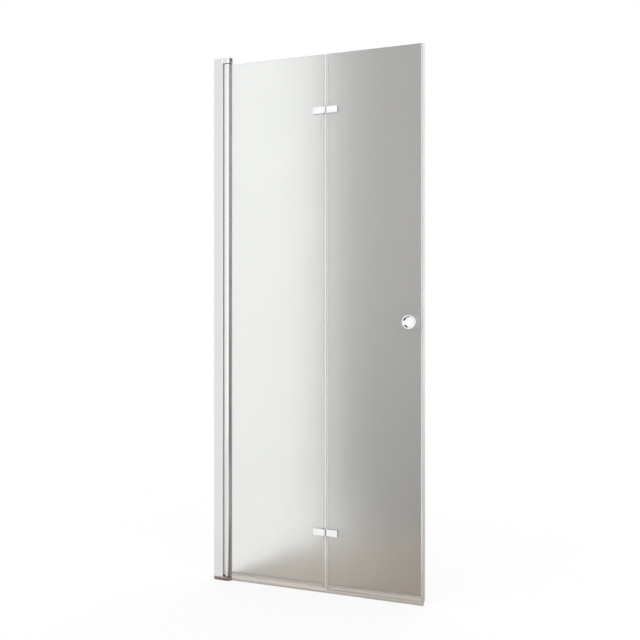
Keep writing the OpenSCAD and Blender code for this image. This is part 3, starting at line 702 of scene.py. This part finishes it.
class SHOWERDOOR_OT_column_gasket(Operator):
    """Makes the rubber gasket that wipes the column"""

    bl_idname = "showerdoor.column_gasket"
    bl_label = "Column Gasket"

    HALF_FOOT = 1.3 * MM

    def execute(self, context):
        low, high = BOXES["column_gasket"]
        face = BOXES["adjusting_profile"][1].x
        bulb = (high.y - low.y) / 2
        centre = (high.x - bulb, high.y - bulb)
        foot = self.HALF_FOOT
        lean = degrees(asin((centre[0] - face) / bulb))
        outline = [
            (low.x, centre[1] - foot), (face, centre[1] - foot),
            *arc(centre, bulb, -90 - lean, 90 + lean, 40),
            (face, centre[1] + foot), (low.x, centre[1] + foot),
        ]
        bar = upright_bar([outline], low.z, high.z)
        # The gasket's finish paints shade on its foot.
        smooth(piece(bar, "column_gasket_extrusion", "column_gasket", look="rubber_painted_shade"))
        return {"FINISHED"}


# ---- Panes ----

class SHOWERDOOR_OT_panes(Operator):
    """Makes both panes of glass, with ground edges and holes for the fittings"""

    bl_idname = "showerdoor.panes"
    bl_label = "Glass Panes"

    HINGE_HOLE = 4 * MM
    KNOB_HOLE = 6 * MM

    def execute(self, context):
        for node, side in (("hinge_side_glass", "fixed"), ("closing_side_glass", "moving")):
            low, high = BOXES[node]
            rim = [(low.x, low.z), (high.x, low.z), (high.x, high.z), (low.x, high.z)]
            holes = [circle(place, self.HINGE_HOLE) for place in self.hinge_holes(side)]
            if side == "moving":
                holes.append(circle((KNOB_PLACE.x, KNOB_PLACE.z), self.KNOB_HOLE))
            bm = prism([rim, *holes], lambda x, z: (x, low.y, z), (0, high.y - low.y, 0))
            chamfer(bm, sizes().glass_arris)
            bmesh.ops.recalc_face_normals(bm, faces=bm.faces)
            for face in bm.faces:
                face.material_index = 0 if abs(face.normal.y) > 0.9 else 1
            pane = piece(bm, node + "_pane", node)
            pane.data.materials.append(finish("glass_edge"))
            smooth(pane)
        return {"FINISHED"}

    @staticmethod
    def hinge_holes(side):
        """Places of the hinge screws on one side of the fold."""
        places = []
        for level in ("lower", "upper"):
            low, high = BOXES[f"{level}_hinge_{side}_screws"]
            head = (high.z - low.z) / 2
            middle = (low.z + high.z) / 2
            places += [(low.x + head, middle), (high.x - head, middle)]
        return places


# ---- Seals ----

def grip_end(x, y_inner, y_outer, outwards):
    """The rounded end of a seal's leg, from its inner to its outer face; outwards is -1 or 1 along X."""
    radius = abs(y_outer - y_inner) / 2
    middle = (y_inner + y_outer) / 2
    start = 90 if y_inner > y_outer else -90
    sweep = 180 if outwards * start < 0 else -180
    return arc((x - outwards * radius, middle), radius, start, start + sweep, 8)


def seal_section(pane_edge, leg_end, web_face, bulb=None):
    """The loops of an upright seal's section. The seal grips the pane up to leg_end, and its web ends at
    web_face. bulb is the hollow bulb on the web, if any: its centre's x, its radius, its wall and its
    stretch across the door."""
    away = 1 if web_face > pane_edge else -1
    inner = GLASS_FACE + GRIP_GAP
    lower = grip_end(leg_end, -inner, -SEAL_FACE, -away)
    upper = grip_end(leg_end, SEAL_FACE, inner, -away)
    front = [(web_face, -SEAL_FACE)]
    loops = []
    if bulb:
        centre, radius, wall, stretch = bulb
        reach = abs(web_face - centre)
        half = degrees(asin(sqrt(radius * radius - reach * reach) / radius))
        if away > 0:
            rim = arc((centre, 0), radius, -180 + half, 180 - half)
        else:
            rim = arc((centre, 0), radius, -half, -360 + half)
        front += [(x, y * stretch) for x, y in rim]
        loops.append([(x, y * stretch) for x, y in circle((centre, 0), radius - wall)])
    front.append((web_face, SEAL_FACE))
    throat = pane_edge + away * GRIP_GAP
    outer = [*lower, *front, *upper, (throat, inner), (throat, -inner)]
    return [outer, *loops]


class SHOWERDOOR_OT_upright_seals(Operator):
    """Makes the clear seals on the panes' upright edges"""

    bl_idname = "showerdoor.upright_seals"
    bl_label = "Upright Seals"

    BULB_WALL = 0.7 * MM
    BULB_STRETCH = 1.4
    BULB_SINK = 0.3 * MM  # how far the fold's bulb sinks into its web
    EDGE_BULB = 3.75 * MM
    HINGE_ROOM = 1.5 * MM

    def execute(self, context):
        first_pane, second_pane = BOXES["hinge_side_glass"], BOXES["closing_side_glass"]
        low, high = BOXES["fold_bulb_seal"]
        web = first_pane[1].x + SEAL_WALL
        bulb_radius = (high.x - web + self.BULB_SINK) / 2
        bulb = (high.x - bulb_radius, bulb_radius, self.BULB_WALL, self.BULB_STRETCH)
        section = seal_section(first_pane[1].x, low.x, web, bulb)
        self.milky(self.fold_seal(section, "fold_bulb_seal_strip", "fold_bulb_seal"), web)

        low, high = BOXES["fold_strike_seal"]
        section = seal_section(second_pane[0].x, high.x, low.x)
        self.fold_seal(section, "fold_strike_seal_strip", "fold_strike_seal")

        low, high = BOXES["closing_edge_seal"]
        bulb = (high.x - self.EDGE_BULB, self.EDGE_BULB, SEAL_WALL, 1)
        web = second_pane[1].x + SEAL_WALL
        section = seal_section(second_pane[1].x, low.x, web, bulb)
        bm = upright_bar(section, low.z, high.z)
        self.milky(smooth(piece(bm, "closing_edge_seal_strip", "closing_edge_seal")), web)
        return {"FINISHED"}

    @staticmethod
    def milky(obj, web):
        """Makes the part of a seal beyond its web milky."""
        obj.data.materials.append(finish("milky_bulb"))
        for face in obj.data.polygons:
            if face.center.x > web + WELD:
                face.material_index = 1

    def fold_seal(self, section, name, node):
        """A seal in three lengths, below, between and above the hinges."""
        low, high = BOXES[node]
        half = (BOXES["lower_hinge_pin"][1].z - BOXES["lower_hinge_pin"][0].z) / 2 + self.HINGE_ROOM
        stops = [low.z]
        for level in HINGE_LEVELS:
            stops += [level - half, level + half]
        stops.append(high.z)
        runs = [upright_bar(section, stops[i], stops[i + 1]) for i in range(0, len(stops), 2)]
        return smooth(piece(joined(runs), name, node))


class SHOWERDOOR_OT_bottom_seals(Operator):
    """Makes the clear drip seals under the panes, each with an upright lip and a leaning one"""

    bl_idname = "showerdoor.bottom_seals"
    bl_label = "Bottom Seals"

    LEDGE = 0.2 * MM  # height of the step where the grip is cut away at the seal's ends
    UPRIGHT_ROOM = 0.5 * MM

    def execute(self, context):
        first_end = BOXES["fold_bulb_seal"][0].x - self.UPRIGHT_ROOM
        second_start = BOXES["fold_strike_seal"][1].x + self.UPRIGHT_ROOM
        second_end = BOXES["closing_edge_seal"][0].x - self.UPRIGHT_ROOM
        for node, pane, cut_start, cut_end in (
            ("hinge_side_bottom_seal", "hinge_side_glass", None, first_end),
            ("closing_side_bottom_seal", "closing_side_glass", second_start, second_end),
        ):
            low, high = BOXES[node]
            under = BOXES[pane][0].z
            outline = self.section(under, low, high)
            run = (high.x - low.x, 0, 0)
            bm = prism([outline], lambda y, z: (low.x, y, z), run, whole_ends=False)
            for vert in bm.verts:
                if vert.co.z > under + self.LEDGE / 2:
                    if cut_start and vert.co.x < low.x + WELD:
                        vert.co.x = cut_start
                    if cut_end and vert.co.x > high.x - WELD:
                        vert.co.x = cut_end
            bmesh.ops.recalc_face_normals(bm, faces=bm.faces)
            smooth(piece(bm, node + "_strip", node, look="level_seal"))
        return {"FINISHED"}

    def section(self, under, low, high):
        """The Y and Z outline: a grip on the pane and two lips under it."""
        wall, web = SEAL_WALL, under - SEAL_WALL
        inner, throat = GLASS_FACE + GRIP_GAP, under - GRIP_GAP
        lip_foot = low.z
        lean_foot = web / 3
        leg = (SEAL_FACE - inner) / 2
        top = high.z - leg
        return [
            (-SEAL_FACE, lip_foot + 0.2 * wall), (-SEAL_FACE, under), (-SEAL_FACE, under + self.LEDGE),
            *arc((-SEAL_FACE + leg, top), leg, 180, 0, 8),
            (-inner, under + self.LEDGE), (-inner, throat), (inner, throat), (inner, under + self.LEDGE),
            *arc((SEAL_FACE - leg, top), leg, 180, 0, 8),
            (SEAL_FACE, under + self.LEDGE), (SEAL_FACE, under), (SEAL_FACE, web + 0.3 * wall),
            (GLASS_FACE + 0.3 * wall, web),
            (high.y - 0.05 * wall, lean_foot + 0.2 * wall), (high.y - 0.3 * wall, lean_foot),
            (high.y - 0.75 * wall, lean_foot + 0.1 * wall), (GLASS_FACE - 1.6 * wall, web),
            (-GLASS_FACE - 0.1 * wall, web), (-GLASS_FACE - 0.2 * wall, lip_foot + 0.2 * wall),
            (-GLASS_FACE - 0.4 * wall, lip_foot), (-SEAL_FACE + 0.2 * wall, lip_foot),
        ]


# ---- Knob ----

class SHOWERDOOR_OT_knobs(Operator):
    """Turns the outer and the inner knob, each with a dished face"""

    bl_idname = "showerdoor.knobs"
    bl_label = "Knobs"

    FOOT = 12 * MM
    FOOT_HEIGHT = 3 * MM
    FOOT_ROUND = 0.5 * MM
    NECK = 8.5 * MM
    NECK_FILLET = 1.2 * MM
    HEAD_HEIGHT = 9 * MM
    ROUND = 2 * MM
    FRONT_ROUND = 2.6 * MM
    LIP_ROUND = 0.8 * MM
    STEP_RUN = 4.2 * MM  # the sloping wall inside the rim, across and down
    STEP_FALL = 4.2 * MM
    STEP_SLOPE = 42

    def execute(self, context):
        for node, face in (("outer_knob", -1), ("inner_knob", 1)):
            low, high = BOXES[node]
            base = high.y if face < 0 else low.y
            reach = high.y - low.y
            bm = bmesh.new()
            points = self.profile((high.x - low.x) / 2, reach)
            verts = [bm.verts.new((KNOB_PLACE.x + r, base + face * h, KNOB_PLACE.z)) for r, h in points]
            edges = [bm.edges.new(pair) for pair in zip(verts, verts[1:])]
            centre = (KNOB_PLACE.x, base, KNOB_PLACE.z)
            bmesh.ops.spin(
                bm, geom=verts + edges, cent=centre, axis=(0, 1, 0), angle=2 * pi,
                steps=sizes().round_steps, use_merge=True,
            )
            bmesh.ops.remove_doubles(bm, verts=bm.verts, dist=WELD)
            bmesh.ops.recalc_face_normals(bm, faces=bm.faces)
            smooth(piece(bm, node + "_turned", node))
        return {"FINISHED"}

    def profile(self, head, reach):
        """The turned outline from the foot's middle to the dish's middle, as radius and height."""
        under = reach - self.HEAD_HEIGHT
        edge, fillet, lip = self.FOOT_ROUND, self.NECK_FILLET, self.LIP_ROUND
        dish = head - sizes().knob_rim
        bowl_edge = dish - self.STEP_RUN
        depth = sizes().knob_dish - self.STEP_FALL
        sphere = (bowl_edge * bowl_edge + depth * depth) / (2 * depth)
        half = degrees(asin(bowl_edge / sphere))
        flare = (self.FOOT_HEIGHT + under) / 2
        bowl = arc((0, reach - sizes().knob_dish + sphere), sphere, -90 + half, -90, 24)
        return [
            (0, 0), (self.FOOT - edge, 0),
            *arc((self.FOOT - edge, self.FOOT_HEIGHT - edge), edge, -10, 90, 6),
            (self.NECK + fillet, self.FOOT_HEIGHT + 0.1 * MM),
            *arc((self.NECK + fillet, self.FOOT_HEIGHT + 0.1 * MM + fillet), fillet, 265, 180, 6),
            (self.NECK, flare - 1 * MM), (self.NECK + 0.4 * MM, flare + 0.6 * MM),
            (self.NECK + 1.6 * MM, flare + 1.5 * MM), (head - self.ROUND - 1.5 * MM, under - 0.5 * MM),
            *arc((head - self.ROUND, under + self.ROUND), self.ROUND, -80, 0, 8),
            *arc((head - self.FRONT_ROUND, reach - self.FRONT_ROUND), self.FRONT_ROUND, 0, 90, 12),
            (dish + lip, reach), *arc((dish + lip, reach - lip), lip, 90, 90 + self.STEP_SLOPE, 5)[1:],
            *bowl,
        ]


# ---- Fittings ----

FITTINGS = {
    "top_pivot_bracket": "top_bracket_casting",
    "bottom_pivot_bracket": "bottom_bracket_casting",
    "channel_top_cap": "channel_top_cap_moulding",
    "channel_bottom_cap": "channel_bottom_cap_moulding",
    "locking_screw_caps": "locking_screw_cap_mouldings",
}
FINE_FITTINGS = {
    "top_bracket_screws": "top_bracket_screw_pair",
    "bottom_bracket_screws": "bottom_bracket_screw_pair",
    "locking_screws": "locking_screw_set",
    "top_pivot_bush": "top_bush_moulding",
    "bottom_pivot_bush": "bottom_bush_moulding",
    "knob_washers": "knob_washer_pair",
}
for half in ("lower_hinge_fixed", "lower_hinge_moving", "upper_hinge_fixed", "upper_hinge_moving"):
    FITTINGS[half + "_leaf"] = half + "_leaf_casting"
    FITTINGS[half + "_clamp"] = half + "_clamp_plate"
    FINE_FITTINGS[half + "_screws"] = half + "_screw_pair"
    FINE_FITTINGS[half + "_outer_pad"] = half + "_outer_pad_moulding"
    FINE_FITTINGS[half + "_inner_pad"] = half + "_inner_pad_moulding"


class SHOWERDOOR_OT_fittings(Operator):
    """Rounds the edges of the brackets, caps, hinges, pads and screws"""

    bl_idname = "showerdoor.fittings"
    bl_label = "Fittings"

    FINE_SHARE = 0.3

    def execute(self, context):
        for node, name in FITTINGS.items():
            rounded_copy(node, name, sizes().metal_round)
        for node, name in FINE_FITTINGS.items():
            rounded_copy(node, name, sizes().metal_round * self.FINE_SHARE)
        return {"FINISHED"}


class SHOWERDOOR_OT_finishes(Operator):
    """Gives every carried-over part the finish of its slot"""

    bl_idname = "showerdoor.finishes"
    bl_label = "Finishes"

    def execute(self, context):
        for node, obj in frame["nodes"].items():
            for slot in obj.material_slots:
                slot.material = finish(SLOT_OF[node])
        return {"FINISHED"}


# ---- Studio ----

CAMERA_PLACE = Vector((1.384, -2.644, 1.038))
CAMERA_TURN = radians(20.08)
HORIZON_ROW = 302.4  # the photograph's row at the height of the lens
PICTURE_SIDE = 640


def emission(name, colour_of):
    """A material that only glows, with its colour from a function of its shader."""
    material = bpy.data.materials.new(name)
    shader = Shader(material)
    surface = shader.node("Emission", {}, {"Color": colour_of(shader), "Strength": 1.0})
    shader.node("OutputMaterial", {}, {"Surface": surface})
    return material


def standing(start, end, low, high):
    """Corners of an upright rectangle between two places on the floor and two heights."""
    return [(*start, low), (*end, low), (*end, high), (*start, high)]


def lying(west, east, front, back, height):
    """Corners of a level rectangle."""
    return [(west, front, height), (east, front, height), (east, back, height), (west, back, height)]


def sheet(name, corners, material):
    """A flat stage sheet with an outline of corners."""
    bm = bmesh.new()
    bm.faces.new([bm.verts.new(corner) for corner in corners])
    mesh = bpy.data.meshes.new(name)
    bm.to_mesh(mesh)
    bm.free()
    obj = bpy.data.objects.new(name, mesh)
    bpy.context.scene.collection.objects.link(obj)
    mesh.materials.append(material)
    return obj


def seen_only(obj, *kinds):
    """Hides a stage sheet from every kind of ray but these."""
    for kind in ("camera", "diffuse", "glossy", "transmission", "volume_scatter", "shadow"):
        setattr(obj, "visible_" + kind, kind in kinds)


class SHOWERDOOR_OT_studio(Operator):
    """Sets up the camera, the floor, the lamps and the room that shows blurred through the satin glass"""

    bl_idname = "showerdoor.studio"
    bl_label = "Studio"

    def execute(self, context):
        self.camera(context.scene)
        self.floor()
        self.room()
        self.cards()
        self.lamps()
        self.world(context.scene)
        context.scene.view_settings.view_transform = "Standard"
        return {"FINISHED"}

    @staticmethod
    def camera(scene):
        """A level camera whose picture is shifted up or down to keep uprights upright."""
        data = bpy.data.cameras.new("camera")
        data.sensor_width = 36
        data.lens = scene.door_studio.lens
        data.shift_y = (HORIZON_ROW - PICTURE_SIDE / 2) / PICTURE_SIDE
        camera = bpy.data.objects.new("camera", data)
        camera.location = CAMERA_PLACE
        camera.rotation_euler = (radians(90), 0, CAMERA_TURN)
        scene.collection.objects.link(camera)
        scene.camera = camera

    @staticmethod
    def floor():
        """A white floor that keeps the door's shadow near it. Metal sees it greyer, dark at the right."""
        half = bpy.context.scene.door_studio.floor_size / 2
        material = bpy.data.materials.new("studio_floor")
        shader = Shader(material)
        path = shader.node("LightPath")
        place = shader.node("SeparateXYZ", {}, {0: shader.place()})
        distance = shader.node("VectorMath", {"operation": "LENGTH"}, {0: shader.place()}, output="Value")
        bearing = shader.node("Math", {"operation": "ARCTAN2"}, {0: place.named("Y"), 1: place.named("X")})
        lit = shader.node("BsdfDiffuse", {}, {"Color": rgba(grey(0.93))})
        white = shader.node("Emission", {}, {"Color": rgba(grey(1.0)), "Strength": 1.0})
        share = path.named("Is Camera Ray") * shader.ramp(distance, 0.6, 2.0, 0.8, 1.0)
        seen = shader.node("MixShader", {}, {0: share, 1: lit, 2: white})
        near = shader.ramp(distance, 0.2, 0.7, 0.0, 0.16)
        behind = shader.ramp(bearing, radians(80), radians(105), 0.0, 0.14)
        glow = 0.86 + near * shader.ramp(place.named("X"), -0.1, 0.15, 0.3, 1.0) + behind
        dark = shader.band(bearing, (radians(-70), radians(-38)), (0.1, 0.3))
        shade = shader.blend(shader.ramp(distance, 0.6, 1.0), (0.21, 0.175, 0.15), (0.35, 0.33, 0.31))
        shiny = shader.node("Emission", {}, {"Color": shader.blend(dark, glow, shade)})
        surface = shader.node("MixShader", {}, {0: path.named("Is Glossy Ray"), 1: seen, 2: shiny})
        shader.node("OutputMaterial", {}, {"Surface": surface})
        ground = sheet("studio_floor", lying(-half, half, -half, half, 0), material)
        seen_only(ground, "camera", "diffuse", "glossy", "shadow")

    @staticmethod
    def room():
        """The walls and the floor of the shower, which show only blurred through the glass. They are sheets
        that glow, so their colours are painted light, lighter towards the top of the walls.
        """
        start, back, side = 0.015, 1.25, 4.0
        low, top = -1.5, 3.2
        wall = standing((0, start), (0, back), low, top)
        rear = standing((0, back), (side, back), low, top)
        ledge = standing((0, back - 0.01), (0.19, back - 0.01), low, 0.01)
        tray = [
            (0.005, start, 0), (side, start, 0), (side, 0.92, 0), (0.58, 0.81, 0), (0.31, 0.61, 0),
            (0.166, 0.443, 0), (0.047, 0.109, 0),
        ]
        # Painted light: each sheet glows with the brightness that the room shows through the glass.
        side_wall_glow = emission("room_side_wall", lambda s: s.blend(
            s.ramp(s.height(), 0.0, 2.2), (1.0, 0.995, 0.985), (1.045, 1.045, 1.035),
        ))
        back_wall_glow = emission("room_back_wall", lambda s: s.blend(
            s.ramp(s.height(), -0.5, 1.5), (0.20, 0.188, 0.177), (0.308, 0.293, 0.279),
        ))
        floor = emission("room_floor", lambda s: s.blend(
            s.ramp(s.coordinate("X"), 0.25, 0.75),
            (0.45, 0.395, 0.33), (0.278, 0.215, 0.153),
        ))
        rim = emission("room_ledge", lambda s: rgba((0.47, 0.453, 0.43)))
        for name, corners, material in (
            ("room_side_wall", wall, side_wall_glow), ("room_back_wall", rear, back_wall_glow),
            ("room_ledge", ledge, rim), ("room_floor", tray, floor),
        ):
            seen_only(sheet(name, corners, material), "transmission")

    @staticmethod
    def cards():
        """Cards that only shiny parts reflect: bright ones in front, dark ones at the right and below."""
        bright = emission("bright_card", lambda s: rgba(grey(1.12)))
        window = emission("bright_strip", lambda s: rgba(grey(1.55)))
        dark = emission("dark_card", lambda s: s.blend(
            s.ramp(s.height(), 0.0, 2.2), (0.20, 0.185, 0.17), grey(0.42),
        ))
        ground = emission("ground_card", lambda s: rgba((0.22, 0.175, 0.145)))
        black = emission("knob_low_card", lambda s: rgba(grey(0.01)))
        deep = emission("knob_high_card", lambda s: rgba(grey(0.05)))
        nose = emission("bracket_card", lambda s: rgba(grey(0.15)))
        left = standing((-3.0, -0.6), (-1.5, -2.2), 0, 5)
        front = standing((-0.85, -2.64), (1.0, -2.64), 0.1, 2.6)
        strip = standing((0.5, -3.0), (1.75, -3.0), 0, 3)
        right = standing((1.6, -1.9), (3.2, 1.2), 0, 3)
        under = lying(-0.5, 1.6, -0.045, 0.03, MM)
        low = lying(0.83, 1.15, -0.2, -0.004, KNOB_PLACE.z - 0.17)
        high = lying(0.75, 0.95, -0.2, -0.004, KNOB_PLACE.z + 0.17)
        feet, top = [(0.40, -0.06, 2.025), (0.40, 0.45, 2.08), (0.20, 0.60, 2.09)], 2.2
        beside = [(x, -0.08, KNOB_PLACE.z + z) for x, z in (
            (0.79, 0.0), (0.845, 0.0), (0.845, -0.04), (0.93, -0.04), (0.93, 0.09), (0.845, 0.09),
            (0.845, 0.04), (0.79, 0.04),
        )]
        for name, corners, material in (
            ("left_card", left, bright), ("bright_card", front, bright), ("bright_strip", strip, window),
            ("dark_card", right, dark), ("ground_card", under, ground), ("knob_low_card", low, black),
            ("knob_high_card", high, deep), ("knob_side_card", beside, bright),
        ):
            seen_only(sheet(name, corners, material), "glossy")
        for name, near, far in (("bracket_front_card", *feet[:2]), ("bracket_rear_card", *feet[1:])):
            corners = [near, far, (*far[:2], top), (*near[:2], top)]
            seen_only(sheet(name, corners, nose), "glossy")

    @staticmethod
    def lamps():
        """Soft lamps for the matt parts and the shadow, turned to the door's middle."""
        aim = Vector((0.4, 0, 1))
        for name, place, side, power in (
            ("key_lamp", (-1.6, -3.0, 3.0), 1.6, 30),
            ("fill_lamp", (2.8, -2.6, 2.4), 2.0, 8),
            ("back_lamp", (0.6, 2.6, 2.8), 2.0, 12),
        ):
            data = bpy.data.lights.new(name, "AREA")
            data.size = side
            data.energy = power
            lamp = bpy.data.objects.new(name, data)
            lamp.location = place
            lamp.rotation_euler = (aim - Vector(place)).to_track_quat("-Z", "Y").to_euler()
            bpy.context.scene.collection.objects.link(lamp)
            lamp.visible_glossy = False
            lamp.visible_transmission = False

    @staticmethod
    def world(scene):
        """White for the camera, a little less for metal, grey behind glass and an even fill for the rest."""
        world = bpy.data.worlds.new("studio")
        scene.world = world
        shader = Shader(world)
        path = shader.node("LightPath")
        studio = scene.door_studio
        strength = (
            studio.fill
            + path.named("Is Camera Ray") * (1.0 - studio.fill)
            + path.named("Is Glossy Ray") * (studio.shine - studio.fill)
            + path.named("Is Transmission Ray") * (studio.behind - studio.fill)
        )
        surface = shader.node("Background", {}, {"Color": rgba(grey(1.0)), "Strength": strength})
        shader.node("OutputWorld", {}, {"Surface": surface})


# ---- Add-on ----

OPERATORS = (
    SHOWERDOOR_OT_studio, SHOWERDOOR_OT_wall_channel, SHOWERDOOR_OT_column,
    SHOWERDOOR_OT_column_gasket, SHOWERDOOR_OT_panes, SHOWERDOOR_OT_upright_seals,
    SHOWERDOOR_OT_bottom_seals, SHOWERDOOR_OT_knobs, SHOWERDOOR_OT_fittings, SHOWERDOOR_OT_finishes,
)


class SHOWERDOOR_PT_panel(Panel):
    """Lists the door's sizes, colours and steps"""

    bl_idname = "SHOWERDOOR_PT_panel"
    bl_label = "Shower Door"
    bl_space_type = "VIEW_3D"
    bl_region_type = "UI"
    bl_category = "Shower Door"

    def draw(self, context):
        layout = self.layout
        for group in (context.scene.door_sizes, context.scene.door_colours, context.scene.door_studio):
            column = layout.column(align=True)
            for name in group.bl_rna.properties.keys():
                if name not in ("rna_type", "name"):
                    column.prop(group, name)
        for operator in OPERATORS:
            layout.operator(operator.bl_idname)


CLASSES = (DoorSizes, DoorColours, StudioSettings, *OPERATORS, SHOWERDOOR_PT_panel)


def register():
    for cls in CLASSES:
        bpy.utils.register_class(cls)
    bpy.types.Scene.door_sizes = PointerProperty(type=DoorSizes)
    bpy.types.Scene.door_colours = PointerProperty(type=DoorColours)
    bpy.types.Scene.door_studio = PointerProperty(type=StudioSettings)


def unregister():
    del bpy.types.Scene.door_studio
    del bpy.types.Scene.door_colours
    del bpy.types.Scene.door_sizes
    for cls in reversed(CLASSES):
        bpy.utils.unregister_class(cls)


def main():
    register()
    for operator in OPERATORS:
        group, name = operator.bl_idname.split(".")
        getattr(getattr(bpy.ops, group), name)()


if __name__ == "__main__":
    main()
